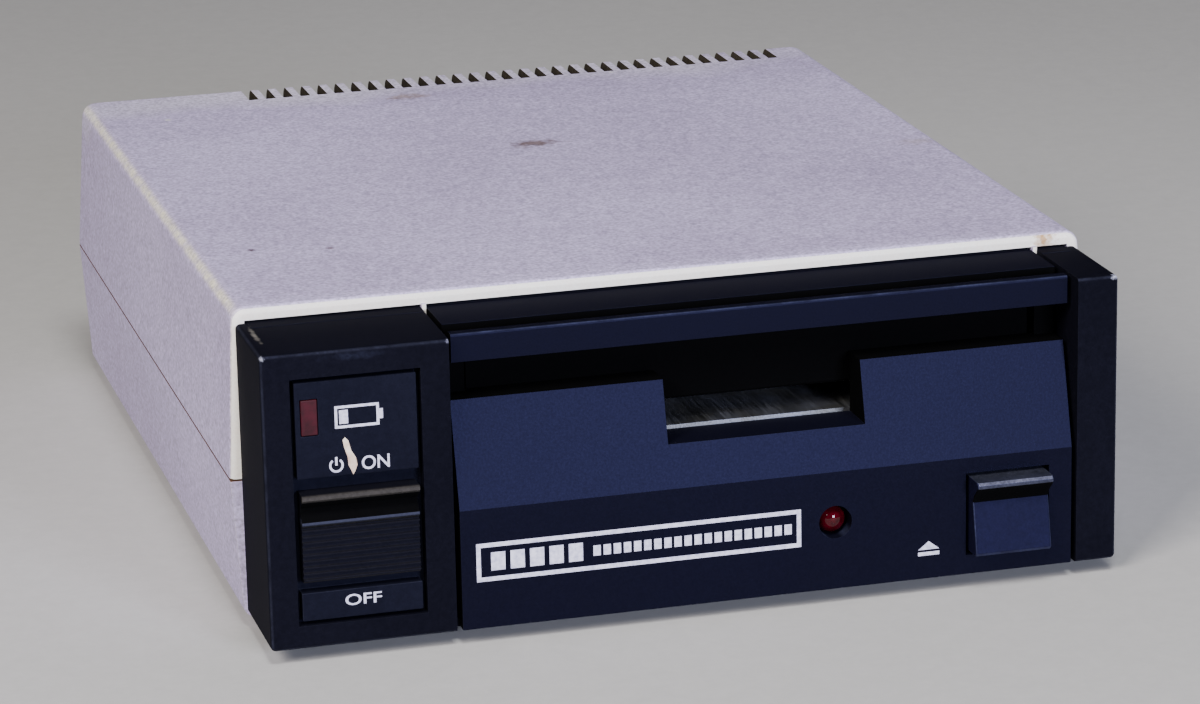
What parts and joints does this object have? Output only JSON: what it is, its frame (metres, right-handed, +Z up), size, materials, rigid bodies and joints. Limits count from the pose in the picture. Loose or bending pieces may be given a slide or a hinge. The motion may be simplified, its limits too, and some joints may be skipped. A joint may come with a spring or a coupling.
{
  "type": "external floppy disk drive",
  "caption": "Battery-portable floppy drive: two-part beige case, black front frame, slotted faceplate with a flap, eject button, power slide and vented rear.",
  "frame": {"origin": "middle of the bounding box, on the plane that the rubber feet stand on", "axes": "+X to the drive's right seen from the front, +Y from the front face to the rear, +Z up"},
  "size_m": [0.1438, 0.1776, 0.053],
  "materials": {
    "case_plastic": "warm grey moulded plastic, fine texture",
    "frame_plastic": "blue-black moulded plastic, satin",
    "control_plastic": "black moulded plastic, slightly glossy",
    "lens_plastic": "clear red plastic",
    "foot_rubber": "black rubber",
    "belt_rubber": "black rubber, ground flat",
    "plated_steel": "zinc-plated sheet steel",
    "bright_steel": "ground steel",
    "spring_steel": "spring wire",
    "screw_steel": "zinc-plated screws",
    "motor_steel": "nickel-plated can",
    "bearing_brass": "sintered brass",
    "white_plastic": "white acetal",
    "black_plastic": "black moulded plastic",
    "board": "green solder mask",
    "chip": "black epoxy",
    "capacitor": "blue sleeve",
    "contact_brass": "gilt contacts",
    "cell_jacket": "printed cell sleeve",
    "contact_steel": "nickel-plated contacts"
  },
  "bodies": {
    "case": {"upper_shell": "case_plastic", "lower_shell": "case_plastic", "rubber_feet": "foot_rubber", "front_frame": "frame_plastic", "label_insert": "frame_plastic", "power_switch": "plated_steel", "switch_board": "board", "low_battery_lens": "lens_plastic", "low_battery_lamp": "lens_plastic", "drive_faceplate": "frame_plastic", "flap_pin": "bright_steel", "eject_spring": "spring_steel", "activity_lamp": "lens_plastic", "lamp_board": "board", "drive_chassis": "plated_steel", "spindle_bearing": "bearing_brass", "drive_belt": "belt_rubber", "drive_motor": "motor_steel", "guide_rods": "bright_steel", "screw_bracket": "plated_steel", "stepper_motor": "motor_steel", "main_board": "board", "board_chips": "chip", "board_capacitors": "capacitor", "dc_jack": "black_plastic", "data_connector": "black_plastic", "connector_pins": "contact_brass", "battery_holder": "black_plastic", "battery_cells": "cell_jacket", "battery_contacts": "contact_steel", "case_screws": "screw_steel", "chassis_screws": "screw_steel", "board_screws": "screw_steel", "switch_board_screws": "screw_steel"},
    "power_slider": {"power_knob": "control_plastic", "switch_lever": "white_plastic"},
    "flap": {"dust_flap": "control_plastic", "flap_spring": "spring_steel"},
    "ejector": {"eject_button": "control_plastic", "eject_plate": "plated_steel"},
    "cradle": {"disk_cradle": "plated_steel", "cradle_pins": "bright_steel"},
    "spindle": {"spindle_hub": "bright_steel", "spindle_shaft": "bright_steel", "spindle_pulley": "white_plastic"},
    "motor_rotor": {"motor_shaft": "bright_steel", "motor_pulley": "bearing_brass"},
    "screw": {"lead_screw": "bright_steel"},
    "carriage": {"head_carriage": "black_plastic", "read_head": "white_plastic", "arm_pin": "bright_steel"},
    "arm": {"pressure_arm": "white_plastic"},
    "bay_door": {"battery_door": "case_plastic"}
  },
  "joints": [
    {"name": "power_slide", "type": "slide", "parent": "case", "child": "power_slider", "axis": [0, 0, 1], "range_m": [0, 0.002]},
    {"name": "flap_swing", "type": "hinge", "parent": "case", "child": "flap", "pos_m": [0.0114, -0.0734, 0.0472], "axis": [1, 0, 0], "range_deg": [0, 75], "stiffness_Nm_per_rad": 0.0005, "springref_deg": -17.19},
    {"name": "eject_press", "type": "slide", "parent": "case", "child": "ejector", "axis": [0, 1, 0], "range_m": [0, 0.0038], "stiffness_N_per_m": 300, "springref_m": -0.004, "deforming": ["eject_spring"]},
    {"name": "cradle_lift", "type": "slide", "parent": "case", "child": "cradle", "axis": [0, 0, 1], "range_m": [0, 0.0038]},
    {"name": "spindle_spin", "type": "hinge", "parent": "case", "child": "spindle", "pos_m": [0.0114, -0.01885, 0.0296], "axis": [0, 0, 1], "continuous": true},
    {"name": "motor_spin", "type": "hinge", "parent": "case", "child": "motor_rotor", "pos_m": [0.0114, -0.05535, 0.0206], "axis": [0, 0, 1], "continuous": true},
    {"name": "screw_turn", "type": "hinge", "parent": "case", "child": "screw", "pos_m": [0.0114, 0.02515, 0.0261], "axis": [0, 1, 0], "range_deg": [0, 1800]},
    {"name": "carriage_slide", "type": "slide", "parent": "case", "child": "carriage", "axis": [0, -1, 0], "range_m": [0, 0.015]},
    {"name": "arm_lift", "type": "hinge", "parent": "carriage", "child": "arm", "pos_m": [0.0114, 0.04055, 0.0426], "axis": [-1, 0, 0], "range_deg": [0, 12]},
    {"name": "battery_door_slide", "type": "slide", "parent": "case", "child": "bay_door", "axis": [0, 1, 0], "range_m": [0, 0.006]}
  ],
  "couplings": [
    {"joint": "cradle_lift", "follows": "eject_press", "ratio": 1},
    {"joint": "arm_lift", "follows": "eject_press", "rad_per_m": 55.1},
    {"joint": "motor_spin", "follows": "spindle_spin", "ratio": 4},
    {"joint": "screw_turn", "follows": "carriage_slide", "rad_per_m": 2094.4}
  ]
}
